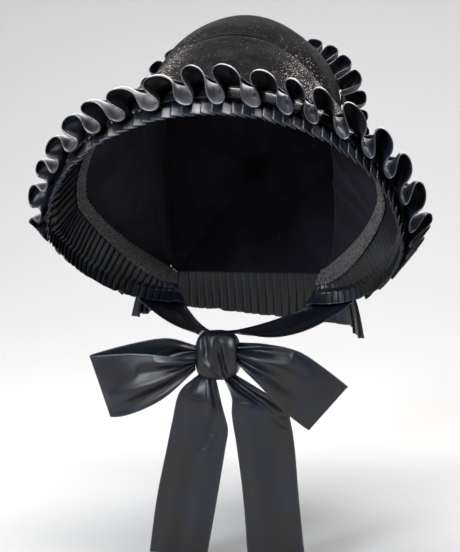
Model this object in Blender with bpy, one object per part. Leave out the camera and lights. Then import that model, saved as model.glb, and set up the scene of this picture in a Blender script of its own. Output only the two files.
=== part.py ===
"""Black poke bonnet, held as on a wearer's head, in metres with +Z up.

The origin is the middle of the wearer's head. The bonnet opens towards -Y and its tip is at +Y.
The shell is a net of sections, each one an arch from the left neck edge over the top to the
right neck edge. Linings, pleats, braid and ruffles are laid on that net, a small lift away.
"""

import bpy
import numpy as np

# Overall form
HALF_WIDTH = 0.160
BRIM_REACH = 0.145
CROWN_LENGTH = 0.112
CROWN_HEIGHT = 0.174
NAPE_DROP = 0.100

# Walls, the clearance that neighbouring pieces keep, and a further ease between the layers of
# the brim, whose flat facets lie a little apart
BRIM_WALL = 0.0025
CROWN_WALL = 0.002
LINING_WALL = 0.001
RIBBON_THICKNESS = 0.001
CLEARANCE = 0.0003
LAYER_EASE = 0.0006

# Pleated facing inside the rim, and the braid over its sewn edge
FACING_PROJECTION = 0.012
FACING_THICKNESS = 0.001
PLEAT_DEPTH = 0.002
PLEAT_STEP = 0.002
PLEATS_PER_COLUMN = 2
BRAID_WIDTH = 0.012
BRAID_THICKNESS = 0.002
BRAID_OVERLAP = 0.004

# Ruffles of upright ribbon loops. From the top to the neck edge, the course of the brim's ruffle
# gives shares of BRIM_RUFFLE_SETBACK, which its free edge keeps behind the rim, and of its height.
BRIM_RUFFLE_SETBACK = 0.014
BRIM_RUFFLE_RIBBON = 0.025
BRIM_RUFFLE_HEIGHT = 0.033
BRIM_LOOPS = 28
COURSE_COLUMNS = ("from_top", "setback", "height")
RUFFLE_COURSE = (
    (0.00, 1.00, 1.00),
    (0.30, 1.00, 0.90),
    (0.55, 0.95, 0.75),
    (0.80, 0.45, 0.72),
    (1.00, -0.90, 0.60),
)
CROWN_RUFFLE_SETBACK = 0.002
CROWN_RUFFLE_RIBBON = 0.018
CROWN_RUFFLE_HEIGHT = 0.025
CROWN_LOOPS = 33
LOOP_SWING = np.radians(103.0)
SEWN_SHARE = 0.38

# Crown tip and neck curtain
TIP_BULGE = 0.022
CURTAIN_DROP = 0.022
CURTAIN_TILT = 0.009
CURTAIN_FLARE = 0.017
CURTAIN_PLEATS = 38
CURTAIN_PLEAT_DEPTH = 0.003

# Ties and bow
TIE_SETBACK = 0.016
TIE_SAG = 0.006
KNOT_WIDTH = 0.040
KNOT_HEIGHT = 0.044
KNOT_DEPTH = 0.028
KNOT_ASIDE = 0.009
KNOT_FORWARD = 0.066
KNOT_BELOW_NECK = 0.025
LOOP_LENGTH = 0.094
TAIL_LENGTH = 0.166

# Sections of the shell. Widths are shares of HALF_WIDTH. Places along Y are shares of BRIM_REACH
# in front of the head's middle and of CROWN_LENGTH behind it. Heights are shares of CROWN_HEIGHT
# above the middle and of NAPE_DROP below it. Arch and cheek shape the arcs above and below the
# widest point: 2 is an ellipse, less is straighter and more is squarer.
COLUMNS_PER_ARC = 13
SECTION_COLUMNS = ("top_y", "top_z", "side_x", "side_y", "side_z", "end_x", "end_y", "end_z",
                   "arch", "cheek")
SECTIONS = {
    "rim":    (-1.00, 0.562, 1.000, -0.62, -0.175, 0.370, 0.45, -1.00, 2.0, 2.0),
    "braid":  (-0.67, 0.690, 0.880, -0.32, 0.060, 0.450, 0.51, -0.78, 2.0, 1.35),
    "flank":  (-0.40, 0.800, 0.740, -0.15, 0.180, 0.490, 0.59, -0.70, 2.0, 1.6),
    "mouth":  (-0.14, 0.895, 0.560, 0.05, 0.345, 0.500, 0.68, -0.64, 2.0, 2.3),
    "front":  (0.09, 0.965, 0.562, 0.22, 0.430, 0.500, 0.72, -0.65, 2.0, 2.4),
    "middle": (0.45, 1.000, 0.562, 0.49, 0.470, 0.495, 0.77, -0.68, 2.0, 2.4),
    "back":   (0.79, 0.910, 0.560, 0.73, 0.420, 0.490, 0.82, -0.72, 2.4, 2.4),
    "tip":    (0.98, 0.735, 0.550, 0.89, 0.360, 0.480, 0.87, -0.76, 3.0, 2.3),
}
BRIM_SECTIONS = ("rim", "braid", "flank", "mouth")
CROWN_SECTIONS = ("mouth", "front", "middle", "back", "tip")

# The curtain's sewn edge: a section, how many columns it lies above the neck edge, and the share
# of CURTAIN_FLARE that its hem stands out there.
CURTAIN_COLUMNS = ("section", "columns_up", "flare")
CURTAIN_PATH = (
    ("braid", 3.2, 0.80),
    ("flank", 2.8, 0.80),
    ("mouth", 2.5, 0.95),
    ("middle", 2.0, 1.00),
    ("tip", 1.0, 1.00),
)

# Lines along each tie: how many columns above the neck edge it is sewn, where it meets the
# knot's top, out from the middle as a share of KNOT_WIDTH, and its share of TIE_SAG.
TIE_COLUMNS = ("columns_up", "knot_out", "sag")
LEFT_TIE = ((0.1, 0.06, 0.8), (1.0, 0.18, 0.9), (2.0, 0.32, 1.0), (3.0, 0.48, 1.0))
RIGHT_TIE = ((0.1, 0.06, 0.6), (1.0, 0.20, 1.2), (2.0, 0.36, 1.9), (3.0, 0.50, 2.6))

# Bow loops, from the knot out along the back layer to the crease and back along the front layer.
# Both edges run out from the knot's side and rise from its middle; all are shares of LOOP_LENGTH.
LOOP_COLUMNS = ("upper_out", "upper_rise", "lower_out", "lower_rise", "forward")
LEFT_LOOP = (
    (0.00, 0.08, 0.00, -0.06, 0.00),
    (0.30, 0.14, 0.26, -0.26, -0.04),
    (0.66, 0.08, 0.60, -0.46, -0.03),
    (1.05, -0.03, 0.86, -0.61, 0.04),
    (0.63, 0.02, 0.66, -0.57, 0.13),
    (0.27, 0.01, 0.32, -0.40, 0.16),
    (0.01, -0.03, 0.01, -0.12, 0.10),
)
RIGHT_LOOP = (
    (0.00, 0.12, 0.00, -0.02, 0.00),
    (0.28, 0.10, 0.24, -0.20, -0.04),
    (0.60, 0.02, 0.42, -0.42, -0.03),
    (1.04, -0.27, 0.68, -0.69, 0.04),
    (0.62, 0.06, 0.46, -0.50, 0.13),
    (0.30, 0.12, 0.20, -0.22, 0.16),
    (0.01, 0.10, 0.01, -0.06, 0.10),
)

# Tails, from the knot's lower face down. Both edges lie out from the knot's middle; all are
# shares of TAIL_LENGTH.
TAIL_COLUMNS = ("left_out", "left_drop", "right_out", "right_drop", "forward")
LEFT_TAIL = (
    (-0.10, 0.00, -0.02, 0.00, 0.00),
    (-0.20, 0.07, 0.03, 0.16, 0.05),
    (-0.25, 0.24, 0.05, 0.28, 0.02),
    (-0.29, 0.41, 0.03, 0.40, 0.00),
    (-0.35, 0.68, -0.02, 0.68, -0.01),
    (-0.40, 1.00, -0.08, 1.00, -0.02),
)
RIGHT_TAIL = (
    (0.02, 0.00, 0.09, 0.00, 0.00),
    (0.08, 0.09, 0.36, 0.13, 0.05),
    (0.08, 0.20, 0.39, 0.21, 0.04),
    (0.10, 0.38, 0.41, 0.38, 0.01),
    (0.13, 0.66, 0.43, 0.66, 0.00),
    (0.15, 1.00, 0.46, 1.00, -0.01),
)

VELVET = (0.010, 0.009, 0.010)
LINING = (0.007, 0.006, 0.009)
SATIN = (0.016, 0.017, 0.022)
BRAID = (0.020, 0.018, 0.019)


def clear_scene():
    for item in list(bpy.data.objects):
        bpy.data.objects.remove(item, do_unlink=True)


def material(name, colour, roughness, sheen=0.0):
    made = bpy.data.materials.new(name)
    made.use_nodes = True
    shader = made.node_tree.nodes["Principled BSDF"]
    shader.inputs["Base Color"].default_value = (*colour, 1.0)
    shader.inputs["Roughness"].default_value = roughness
    shader.inputs["Metallic"].default_value = 0.0
    shader.inputs["Sheen Weight"].default_value = sheen
    made.diffuse_color = (*colour, 1.0)
    made.roughness = roughness
    return made


def add_solid(name, points, faces, made_of):
    mesh = bpy.data.meshes.new(name)
    mesh.from_pydata([tuple(point) for point in points], [], faces)
    mesh.materials.append(made_of)
    mesh.polygons.foreach_set("use_smooth", [True] * len(mesh.polygons))
    mesh.update()
    placed = bpy.data.objects.new(name, mesh)
    bpy.context.scene.collection.objects.link(placed)
    return placed


def grid_faces(rows, columns, start, flipped, ring=False):
    """Two triangles for each cell of a grid, cut along the same diagonal on both sides."""
    faces = []
    last = columns if ring else columns - 1
    for row in range(rows - 1):
        for column in range(last):
            beside = (column + 1) % columns
            a = start + row * columns + column
            b = start + row * columns + beside
            c = start + (row + 1) * columns + beside
            d = start + (row + 1) * columns + column
            faces += [(a, c, b), (a, d, c)] if flipped else [(a, b, c), (a, c, d)]
    return faces


def layered_solid(name, outer, inner, made_of):
    """A closed wall between two grids of the same size: outer is on the side that faces out."""
    rows, columns = outer.shape[:2]
    count = rows * columns
    points = np.concatenate([outer.reshape(-1, 3), inner.reshape(-1, 3)])
    faces = grid_faces(rows, columns, 0, False) + grid_faces(rows, columns, count, True)
    border = [column for column in range(columns)]
    border += [row * columns + columns - 1 for row in range(1, rows)]
    border += [(rows - 1) * columns + column for column in range(columns - 2, -1, -1)]
    border += [row * columns for row in range(rows - 2, 0, -1)]
    for here, following in zip(border, border[1:] + border[:1]):
        faces.append((here, here + count, following + count))
        faces.append((here, following + count, following))
    return add_solid(name, points, faces, made_of)


def unit(vectors):
    return vectors / np.linalg.norm(vectors, axis=-1, keepdims=True)


def grid_normals(grid):
    """Unit normals of a grid: along its columns crossed with down its rows."""
    across = np.gradient(grid, axis=1)
    down = np.gradient(grid, axis=0)
    return unit(np.cross(across, down))


def sheet_solid(name, grid, thickness, made_of):
    """A sheet of one thickness round a grid that lies in its middle."""
    offset = grid_normals(grid) * thickness / 2
    return layered_solid(name, grid + offset, grid - offset, made_of)


def along(share):
    return share * (BRIM_REACH if share < 0 else CROWN_LENGTH)


def height(share):
    return share * (NAPE_DROP if share < 0 else CROWN_HEIGHT)


def half_section(name, upper_angles, lower_angles):
    """One half of a section: an arc down to the widest point, then one in to the neck edge."""
    row = dict(zip(SECTION_COLUMNS, SECTIONS[name]))
    top_y, side_y, end_y = (along(row[key]) for key in ("top_y", "side_y", "end_y"))
    top_z, side_z, end_z = (height(row[key]) for key in ("top_z", "side_z", "end_z"))
    side_x = row["side_x"] * HALF_WIDTH
    end_x = row["end_x"] * HALF_WIDTH
    rise = np.clip(np.cos(upper_angles), 0.0, 1.0) ** (2.0 / row["arch"])
    spread = np.sin(upper_angles) ** (2.0 / row["arch"])
    upper = np.stack([side_x * spread, side_y + (top_y - side_y) * rise,
                      side_z + (top_z - side_z) * rise], axis=-1)
    stay = np.clip(np.cos(lower_angles), 0.0, 1.0) ** (2.0 / row["cheek"])
    fall = np.sin(lower_angles) ** (2.0 / row["cheek"])
    lower = np.stack([end_x + (side_x - end_x) * stay, side_y + (end_y - side_y) * fall,
                      side_z + (end_z - side_z) * fall], axis=-1)
    return upper, lower


def path_lengths(points):
    steps = np.linalg.norm(np.diff(points, axis=0), axis=1)
    return np.concatenate([[0.0], np.cumsum(steps)])


def even_angles():
    """Angles that cut each of the rim's two arcs into equal lengths."""
    fine = np.linspace(0.0, np.pi / 2, 400)
    spread = []
    for arc in half_section("rim", fine, fine):
        lengths = path_lengths(arc)
        even = np.linspace(0.0, lengths[-1], COLUMNS_PER_ARC + 1)
        spread.append(np.interp(even, lengths, fine))
    return spread


def build_net(names):
    """Points and outward normals of the shell, a row for each section, left neck edge first."""
    upper_angles, lower_angles = even_angles()
    rows = []
    for name in names:
        upper, lower = half_section(name, upper_angles, lower_angles)
        half = np.concatenate([upper, lower[1:]])
        mirrored = (half * np.array([-1.0, 1.0, 1.0]))[::-1]
        rows.append(np.concatenate([mirrored, half[1:]]))
    points = np.array(rows)
    return points, grid_normals(points)


def row_near(net, row, distance=0.0):
    """A row of the net moved back (positive) or forward along each column by one distance."""
    points, normals = net
    step = 1 if distance >= 0 else -1
    if not 0 <= row + step < len(points):
        step = -step
    gap = points[row + step] - points[row]
    length = np.linalg.norm(gap, axis=-1, keepdims=True)
    share = abs(distance) / length * (1 if (distance >= 0) == (step > 0) else -1)
    return points[row] + gap * share, normals[row] + (normals[row + step] - normals[row]) * share


def row_along(net, distances):
    """A row laid at given distances behind the net's first row, measured over its bends."""
    points, normals = net
    columns = points.shape[1]
    place = np.zeros((columns, 3))
    normal = np.zeros((columns, 3))
    for column, distance in enumerate(np.broadcast_to(distances, columns)):
        line = points[:, column]
        lengths = path_lengths(line)
        before = min(distance, 0.0) / lengths[1]
        for axis in range(3):
            place[column, axis] = np.interp(distance, lengths, line[:, axis])
            normal[column, axis] = np.interp(distance, lengths, normals[:, column, axis])
        place[column] += (line[1] - line[0]) * before
    return place, normal


def ruffle_course(places, wanted):
    """One column of the brim ruffle's course, at places from 0 to 1 along the whole section."""
    course = np.array(RUFFLE_COURSE)
    values = course[:, COURSE_COLUMNS.index(wanted)]
    return np.interp(np.abs(2 * places - 1), course[:, 0], values)


def reversed_net(net):
    return net[0][::-1], net[1][::-1]


def between_columns(row, positions):
    """Points and normals of one row at places given in columns, straight between them."""
    points, normals = row
    low = np.clip(np.floor(positions).astype(int), 0, len(points) - 2)
    share = (positions - low)[:, None]
    return (points[low] * (1 - share) + points[low + 1] * share,
            normals[low] * (1 - share) + normals[low + 1] * share)


def net_point(net, row, column):
    """The point and normal at a place given in rows and columns, straight between the net's."""
    points, normals = net
    low = min(int(row), len(points) - 2)
    share = row - low
    place = np.array([column])
    near = between_columns((points[low], normals[low]), place)
    far = between_columns((points[low + 1], normals[low + 1]), place)
    return tuple((first * (1 - share) + second * share)[0] for first, second in zip(near, far))


def lifted(rows, lift):
    return np.array([points + normals * lift for points, normals in rows])


def shell_between(name, rows, outer_lift, inner_lift, made_of):
    """A wall on some rows of the net, between two lifts above its outer face."""
    return layered_solid(name, lifted(rows, outer_lift), lifted(rows, inner_lift), made_of)


def build_brim(net, velvet):
    rows = [row_near(net, 0, FACING_PROJECTION), row_near(net, 1), row_near(net, 2),
            row_near(net, 3, -CLEARANCE * 2)]
    shell_between("brim", rows, 0.0, -BRIM_WALL, velvet)


def build_lining(net, cloth):
    rows = [row_near(net, 1, CLEARANCE), row_near(net, 2), row_near(net, 3, -CLEARANCE * 2)]
    top = -BRIM_WALL - CLEARANCE - LAYER_EASE
    shell_between("brim_lining", rows, top, top - LINING_WALL, cloth)


def build_pleating(net, satin):
    """Knife pleats: each rises to a fold and drops back, deep at the free edge, flat where sewn."""
    columns = len(net[0][0]) - 1
    pleats = columns * PLEATS_PER_COLUMN
    fold = 0.86
    positions = np.sort(np.concatenate([np.arange(pleats), np.arange(pleats) + fold]))
    positions = np.append(positions, pleats) / PLEATS_PER_COLUMN
    raised = np.append(np.tile([0.0, 1.0], pleats), 0.0)
    top = -BRIM_WALL - CLEARANCE - LAYER_EASE
    free_points, free_normals = between_columns(row_near(net, 0), positions)
    sewn_points, sewn_normals = between_columns(row_near(net, 1), positions)
    outward = unit(free_points - sewn_points)
    free_points = free_points + outward * (raised[:, None] - 1.0) * PLEAT_STEP
    bottom = top - FACING_THICKNESS - PLEAT_DEPTH * raised[:, None]
    outer = np.array([free_points + free_normals * top, sewn_points + sewn_normals * top])
    inner = np.array([free_points + free_normals * bottom,
                      sewn_points + sewn_normals * (top - FACING_THICKNESS)])
    layered_solid("brim_pleating", outer, inner, satin)


def build_braid(net, cord):
    rows = [row_near(net, 1, -BRAID_OVERLAP), row_near(net, 1),
            row_near(net, 1, BRAID_WIDTH - BRAID_OVERLAP)]
    start = -BRIM_WALL - FACING_THICKNESS - 2 * (CLEARANCE + LAYER_EASE)
    shell_between("braid_trim", rows, start, start - BRAID_THICKNESS, cord)


def build_crown(net, velvet):
    rows = [row_near(net, index) for index in range(len(CROWN_SECTIONS))]
    shell_between("crown_band", rows, 0.0, -CROWN_WALL, velvet)


def build_tip(net, velvet):
    """The back of the crown: a domed sheet inside the tip section, closed along the neck edge."""
    edge = net[0][-1][::2]
    steps_across = 6
    shares = np.linspace(0.0, 1.0, steps_across + 1)[1:-1, None]
    bottom = edge[-1] * (1 - shares) + edge[0] * shares
    ring = np.concatenate([edge, bottom])
    middle = np.array([0.0, ring[:, 1].mean(), (ring[:, 2].max() + ring[:, 2].min()) / 2])
    back = np.array([0.0, 1.0, 0.0])
    layers = []
    for start in (CLEARANCE + CROWN_WALL, CLEARANCE):
        rows = []
        for share in (1.0, 0.86, 0.55):
            dome = TIP_BULGE * (1.0 - share ** 2)
            rows.append(middle + (ring - middle) * share + back * (start + dome))
        layers.append((np.array(rows), middle + back * (start + TIP_BULGE)))
    columns = len(ring)
    count = 3 * columns + 1
    points = np.concatenate([np.vstack([rows.reshape(-1, 3), centre]) for rows, centre in layers])
    faces = grid_faces(3, columns, 0, False, ring=True)
    faces += grid_faces(3, columns, count, True, ring=True)
    for column in range(columns):
        beside = (column + 1) % columns
        faces.append((2 * columns + column, 2 * columns + beside, count - 1))
        faces.append((count + 2 * columns + column, 2 * count - 1, count + 2 * columns + beside))
        faces.append((column, count + beside, beside))
        faces.append((column, count + column, count + beside))
    add_solid("crown_tip", points, faces, velvet)


def meander(steps):
    """One loop of a ribbon that swings from side to side: run and rise, each from 0 to 1."""
    fine = np.linspace(0.0, 2 * np.pi, 721)
    heading = LOOP_SWING * np.sin(fine)
    run = np.concatenate([[0.0], np.cumsum((np.cos(heading[1:]) + np.cos(heading[:-1])) / 2)])
    rise = np.concatenate([[0.0], np.cumsum((np.sin(heading[1:]) + np.sin(heading[:-1])) / 2)])
    phases = np.linspace(0.0, 2 * np.pi, steps, endpoint=False)
    return (np.interp(phases, fine, run) / run[-1],
            np.interp(phases, fine, rise) / rise.max())


def build_ruffle(name, front, back, loops, steps, tall, course, satin):
    """A ribbon on edge, looping along two rows of the net; its back edge is gathered lower."""
    run, rise = meander(steps)
    run = np.append((np.arange(loops)[:, None] + run).ravel(), loops) / loops
    rise = np.append(np.tile(rise, loops), 0.0)
    mean = (np.arange(len(run)) / (len(run) - 1))
    lengths = path_lengths(front[0])
    columns = np.arange(len(lengths))
    start = RIBBON_THICKNESS / 2 + CLEARANCE + LAYER_EASE
    edges = []
    for row, share in ((front, 1.0), (back, SEWN_SHARE)):
        spread = mean + (run - mean) * (0.5 + 0.5 * share)
        places = RUFFLE_SPAN[name] + (1 - 2 * RUFFLE_SPAN[name]) * spread
        positions = np.interp(places * lengths[-1], lengths, columns)
        points, normals = between_columns(row, positions)
        lift = start + rise * share * (tall * course(places) - start)
        edges.append(points + normals * lift[:, None])
    sheet_solid(name, np.array(edges), RIBBON_THICKNESS, satin)


# The share of the section's length, at each end, that a ruffle leaves free
RUFFLE_SPAN = {"brim_ruffle": 0.072, "crown_ruffle": 0.03}


def build_curtain(brim_net, crown_net, satin):
    """A pleated curtain sewn round the outside of the neck edge, flaring to its hem."""
    half = []
    last = len(brim_net[0][0]) - 1
    steps = 4
    for entry, following in zip(CURTAIN_PATH, CURTAIN_PATH[1:]):
        here = dict(zip(CURTAIN_COLUMNS, entry))
        there = dict(zip(CURTAIN_COLUMNS, following))
        in_brim = there["section"] in BRIM_SECTIONS
        net, names = (brim_net, BRIM_SECTIONS) if in_brim else (crown_net, CROWN_SECTIONS)
        for share in np.arange(steps) / steps:
            row, up, flare = (
                first + (second - first) * share for first, second in (
                    (names.index(here["section"]), names.index(there["section"])),
                    (here["columns_up"], there["columns_up"]), (here["flare"], there["flare"])))
            point, normal = net_point(net, row, last - up)
            half.append((point, unit(normal), flare))
    point, normal = net_point(crown_net, len(CROWN_SECTIONS) - 1, last - CURTAIN_PATH[-1][1])
    half.append((point, unit(normal), CURTAIN_PATH[-1][2]))
    corner, outward, flare = half[-1]
    behind = np.array([0.0, 1.0, 0.0])
    back_y = corner[1] + CROWN_WALL + CLEARANCE * 3
    neck = height(SECTIONS["tip"][SECTION_COLUMNS.index("end_z")])
    half[-1] = (np.array([corner[0], corner[1], neck]), outward, flare)
    half.append((np.array([corner[0] * 0.85, back_y, neck]), behind, flare))
    points = np.array([entry[0] for entry in half])
    normals = np.array([entry[1] for entry in half])
    flares = np.array([entry[2] for entry in half])
    flip = np.array([-1.0, 1.0, 1.0])
    points = np.concatenate([points, (points * flip)[::-1]])
    normals = np.concatenate([normals, (normals * flip)[::-1]])
    flares = np.concatenate([flares, flares[::-1]])
    lengths = path_lengths(points)
    fold = 0.8
    spots = np.sort(np.concatenate([np.arange(CURTAIN_PLEATS), np.arange(CURTAIN_PLEATS) + fold]))
    spots = np.append(spots, CURTAIN_PLEATS) / CURTAIN_PLEATS
    raised = np.append(np.tile([0.0, 1.0], CURTAIN_PLEATS), 0.0)[:, None]
    positions = np.interp(spots * lengths[-1], lengths, np.arange(len(lengths)))
    sewn, outward = between_columns((points, normals), positions)
    level = unit(outward * np.array([1.0, 1.0, 0.0]))
    flare = np.interp(positions, np.arange(len(flares)), flares)[:, None]
    start = CLEARANCE + LAYER_EASE + RIBBON_THICKNESS / 2
    top = sewn + outward * (start + raised * CURTAIN_PLEAT_DEPTH / 3)
    hem = sewn + level * (start + flare * CURTAIN_FLARE + raised * CURTAIN_PLEAT_DEPTH)
    hem[:, 2] = -NAPE_DROP - CURTAIN_DROP - CURTAIN_TILT * sewn[:, 0] / sewn[:, 0].max()
    sheet_solid("bavolet", np.array([top, hem]), RIBBON_THICKNESS, satin)


def knot_middle():
    return np.array([-KNOT_ASIDE, -KNOT_FORWARD, -NAPE_DROP - KNOT_BELOW_NECK])


def build_knot(satin):
    """A soft boxy lump: a sphere squared off a little in all three directions."""
    around = 16
    down = 9
    squareness = 0.62
    half = np.array([KNOT_WIDTH, KNOT_DEPTH, KNOT_HEIGHT]) / 2
    turn = np.linspace(0.0, 2 * np.pi, around, endpoint=False)
    tilt = np.linspace(np.pi / 2, -np.pi / 2, down + 2)[1:-1]

    def squared(value):
        return np.sign(value) * np.abs(value) ** squareness

    turns, tilts = np.meshgrid(turn, tilt)
    shape = np.stack([squared(np.cos(turns)) * squared(np.cos(tilts)),
                      squared(np.sin(turns)) * squared(np.cos(tilts)),
                      squared(np.sin(tilts))], axis=-1)
    ring = knot_middle() + shape * half
    poles = [knot_middle() + half * (0, 0, 1), knot_middle() - half * (0, 0, 1)]
    points = np.vstack([ring.reshape(-1, 3), poles])
    faces = grid_faces(down, around, 0, True, ring=True)
    top = down * around
    for column in range(around):
        beside = (column + 1) % around
        faces.append((top, column, beside))
        faces.append((top + 1, (down - 1) * around + beside, (down - 1) * around + column))
    add_solid("bow_knot", points, faces, satin)


def smooth_rows(rows, pieces):
    """More rows between the given ones, on a curve that passes through each of them."""
    rows = np.array(rows, dtype=float)
    ends = np.vstack([2 * rows[0] - rows[1], rows, 2 * rows[-1] - rows[-2]])
    made = []
    for index in range(len(rows) - 1):
        before, here, following, after = ends[index:index + 4]
        for step in np.arange(pieces) / pieces:
            slope = (following - before) / 2
            next_slope = (after - here) / 2
            cube = 2 * here - 2 * following + slope + next_slope
            square = 3 * following - 3 * here - 2 * slope - next_slope
            made.append(((cube * step + square) * step + slope) * step + here)
    made.append(rows[-1])
    return np.array(made)


def strip_between(name, first, second, bow, satin):
    """A ribbon between two edges, its middle bowed forward by the given amounts."""
    middle = (first + second) / 2
    middle[:, 1] -= bow
    sheet_solid(name, np.stack([first, middle, second], axis=1), RIBBON_THICKNESS, satin)


def build_loop(name, table, side, satin):
    rows = smooth_rows(table, 2)
    out = knot_side() * side
    first = np.zeros((len(rows), 3))
    second = np.zeros((len(rows), 3))
    for edge, out_column, rise_column in ((first, 0, 1), (second, 2, 3)):
        edge[:, 0] = out + side * rows[:, out_column] * LOOP_LENGTH
        edge[:, 1] = -rows[:, 4] * LOOP_LENGTH
        edge[:, 2] = rows[:, rise_column] * LOOP_LENGTH
        edge += knot_middle()
    strip_between(name, first, second, 0.0, satin)


def knot_side():
    return KNOT_WIDTH / 2 + CLEARANCE + RIBBON_THICKNESS / 2


def knot_face():
    return KNOT_HEIGHT / 2 + CLEARANCE + RIBBON_THICKNESS / 2


def build_tail(name, table, satin):
    rows = smooth_rows(table, 2)
    first = np.zeros((len(rows), 3))
    second = np.zeros((len(rows), 3))
    for edge, out_column, drop_column in ((first, 0, 1), (second, 2, 3)):
        edge[:, 0] = rows[:, out_column] * TAIL_LENGTH
        edge[:, 1] = -rows[:, 4] * TAIL_LENGTH
        edge[:, 2] = -knot_face() - rows[:, drop_column] * TAIL_LENGTH
        edge += knot_middle()
    strip_between(name, first, second, 0.0, satin)


def build_tie(name, net, table, side, satin):
    """A ribbon sewn outside the brim's end, passing under the rim and in to the knot's top."""
    last = len(net[0][0]) - 1
    start = CLEARANCE + LAYER_EASE + RIBBON_THICKNESS / 2
    paths = []
    for entry in table:
        line = dict(zip(TIE_COLUMNS, entry))
        up = line["columns_up"]
        column = np.array([last - up if side > 0 else up])
        points, normals = between_columns(row_along(net, TIE_SETBACK), column)
        sewn = (points + normals * start)[0]
        points, normals = between_columns(row_near(net, 0), column)
        rim = (points + normals * start)[0]
        knot = knot_middle() + np.array([side * line["knot_out"] * KNOT_WIDTH, 0.0, knot_face()])
        path = [sewn, rim]
        for share in (0.25, 0.5, 0.75, 1.0):
            sag = 4 * share * (1 - share) * TIE_SAG * line["sag"]
            path.append(rim + (knot - rim) * share - np.array([0.0, 0.0, sag]))
        paths.append(path)
    sheet_solid(name, np.array(paths).transpose(1, 0, 2), RIBBON_THICKNESS, satin)


def main():
    clear_scene()
    velvet = material("black_velvet", VELVET, 0.95, 0.35)
    cloth = material("lining_cloth", LINING, 0.9)
    satin = material("black_satin", SATIN, 0.32)
    cord = material("braid_cord", BRAID, 0.85)
    brim_net = build_net(BRIM_SECTIONS)
    crown_net = build_net(CROWN_SECTIONS)
    build_brim(brim_net, velvet)
    build_lining(brim_net, cloth)
    build_pleating(brim_net, satin)
    build_braid(brim_net, cord)
    columns = np.linspace(0.0, 1.0, brim_net[0].shape[1])
    setback = ruffle_course(columns, "setback") * BRIM_RUFFLE_SETBACK
    build_ruffle("brim_ruffle", row_along(brim_net, setback),
                 row_along(brim_net, setback + BRIM_RUFFLE_RIBBON), BRIM_LOOPS, 10,
                 BRIM_RUFFLE_HEIGHT, lambda places: ruffle_course(places, "height"), satin)
    build_crown(crown_net, velvet)
    build_tip(crown_net, velvet)
    from_tip = reversed_net(crown_net)
    build_ruffle("crown_ruffle",
                 row_along(from_tip, CROWN_RUFFLE_SETBACK + CROWN_RUFFLE_RIBBON),
                 row_along(from_tip, CROWN_RUFFLE_SETBACK),
                 CROWN_LOOPS, 8, CROWN_RUFFLE_HEIGHT, np.ones_like, satin)
    build_curtain(brim_net, crown_net, satin)
    build_knot(satin)
    build_loop("bow_loop_left", LEFT_LOOP, -1, satin)
    build_loop("bow_loop_right", RIGHT_LOOP, 1, satin)
    build_tail("tail_left", LEFT_TAIL, satin)
    build_tail("tail_right", RIGHT_TAIL, satin)
    build_tie("tie_left", brim_net, LEFT_TIE, -1, satin)
    build_tie("tie_right", brim_net, RIGHT_TIE, 1, satin)


main()
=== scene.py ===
import math
import bpy
import numpy as np
from mathutils import Matrix, Vector


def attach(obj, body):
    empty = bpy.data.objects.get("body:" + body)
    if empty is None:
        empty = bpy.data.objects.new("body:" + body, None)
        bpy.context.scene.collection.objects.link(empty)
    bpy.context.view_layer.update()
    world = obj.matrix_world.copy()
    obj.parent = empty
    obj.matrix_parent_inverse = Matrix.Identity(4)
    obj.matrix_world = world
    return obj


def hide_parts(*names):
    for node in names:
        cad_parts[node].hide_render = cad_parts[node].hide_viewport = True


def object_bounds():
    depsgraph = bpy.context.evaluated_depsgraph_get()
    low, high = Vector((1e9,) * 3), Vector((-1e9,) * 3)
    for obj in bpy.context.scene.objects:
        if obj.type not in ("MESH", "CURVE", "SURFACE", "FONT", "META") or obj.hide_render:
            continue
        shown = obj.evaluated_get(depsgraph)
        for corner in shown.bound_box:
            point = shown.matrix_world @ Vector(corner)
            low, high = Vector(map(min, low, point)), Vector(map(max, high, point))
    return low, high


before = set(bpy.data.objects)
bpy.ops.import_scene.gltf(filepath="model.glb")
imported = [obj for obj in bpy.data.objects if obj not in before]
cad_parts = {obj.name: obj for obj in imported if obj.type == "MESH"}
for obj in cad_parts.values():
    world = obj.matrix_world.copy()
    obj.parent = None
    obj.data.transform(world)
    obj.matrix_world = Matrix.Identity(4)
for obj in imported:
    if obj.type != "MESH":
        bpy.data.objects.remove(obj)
cadLow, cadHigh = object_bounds()
print("frame loaded:", len(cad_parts), "nodes")

# The shell of the bonnet: the same sections as the solids have. Widths are shares of halfWidth,
# places along Y are shares of brimReach in front and of crownLength behind, heights are shares
# of crownHeight above and of napeDrop below.
shell = {
    "halfWidth": 0.160, "brimReach": 0.145, "crownLength": 0.112,
    "crownHeight": 0.174, "napeDrop": 0.100, "columnsPerArc": 13,
    "brimWall": 0.0025, "crownWall": 0.002, "gap": 0.0003, "ease": 0.0006,
}
sectionNames = ("topY", "topZ", "sideX", "sideY", "sideZ", "endX", "endY", "endZ", "arch", "cheek")
sections = {
    "rim":    (-1.00, 0.562, 1.000, -0.62, -0.175, 0.370, 0.45, -1.00, 2.0, 2.0),
    "braid":  (-0.67, 0.690, 0.880, -0.32, 0.060, 0.450, 0.51, -0.78, 2.0, 1.35),
    "flank":  (-0.40, 0.800, 0.740, -0.15, 0.180, 0.490, 0.59, -0.70, 2.0, 1.6),
    "mouth":  (-0.14, 0.895, 0.560, 0.05, 0.345, 0.500, 0.68, -0.64, 2.0, 2.3),
    "front":  (0.09, 0.965, 0.562, 0.22, 0.430, 0.500, 0.72, -0.65, 2.0, 2.4),
    "middle": (0.45, 1.000, 0.562, 0.49, 0.470, 0.495, 0.77, -0.68, 2.0, 2.4),
    "back":   (0.79, 0.910, 0.560, 0.73, 0.420, 0.490, 0.82, -0.72, 2.4, 2.4),
    "tip":    (0.98, 0.735, 0.550, 0.89, 0.360, 0.480, 0.87, -0.76, 3.0, 2.3),
}


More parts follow.
